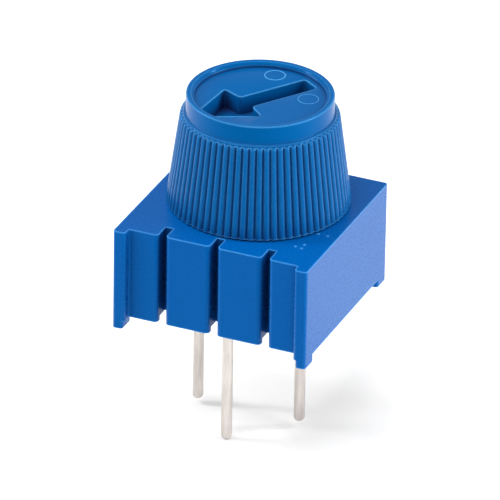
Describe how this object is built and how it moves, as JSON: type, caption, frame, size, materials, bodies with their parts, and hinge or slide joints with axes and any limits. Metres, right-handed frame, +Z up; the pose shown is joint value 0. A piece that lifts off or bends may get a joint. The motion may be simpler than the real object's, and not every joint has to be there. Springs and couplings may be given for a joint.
{
  "type": "trimmer potentiometer",
  "caption": "Small square trimmer potentiometer with a fluted finger knob on top, an arrow-shaped slot in the knob, and straight round leads below.",
  "frame": {"origin": "the board's surface under the middle of the square housing in plan, where the feet stand", "axes": "+Z up, away from the board, along the knob's turning axis; the slotted front face looks towards -Y; +X runs from terminal 1 to terminal 3"},
  "size_m": [0.0096, 0.0099, 0.0163],
  "materials": {
    "blue_plastic": "satin moulded plastic",
    "epoxy": "cast epoxy",
    "tinned_lead": "matte tin",
    "solder": "satin solder",
    "ceramic": "fired ceramic",
    "resistive_film": "fired film",
    "conductor_film": "fired silver film",
    "rotor_plastic": "moulded plastic",
    "seal_rubber": "smooth rubber",
    "contact_metal": "spring metal"
  },
  "bodies": {
    "housing": {"housing": "blue_plastic", "sealant": "epoxy", "terminal_1": "tinned_lead", "terminal_2": "tinned_lead", "terminal_3": "tinned_lead", "solder_joint_1": "solder", "solder_joint_2": "solder", "solder_joint_3": "solder", "substrate": "ceramic", "resistive_track": "resistive_film", "end_pad_1": "conductor_film", "end_pad_3": "conductor_film", "collector": "conductor_film"},
    "rotor": {"rotor": "rotor_plastic", "sealing_ring": "seal_rubber", "wiper": "contact_metal", "knob": "blue_plastic"}
  },
  "joints": [
    {"name": "knob_turn", "type": "hinge", "parent": "housing", "child": "rotor", "pos_m": [0, 0.00086, 0.004], "axis": [0, 0, 1], "range_deg": [-120, 189]}
  ]
}
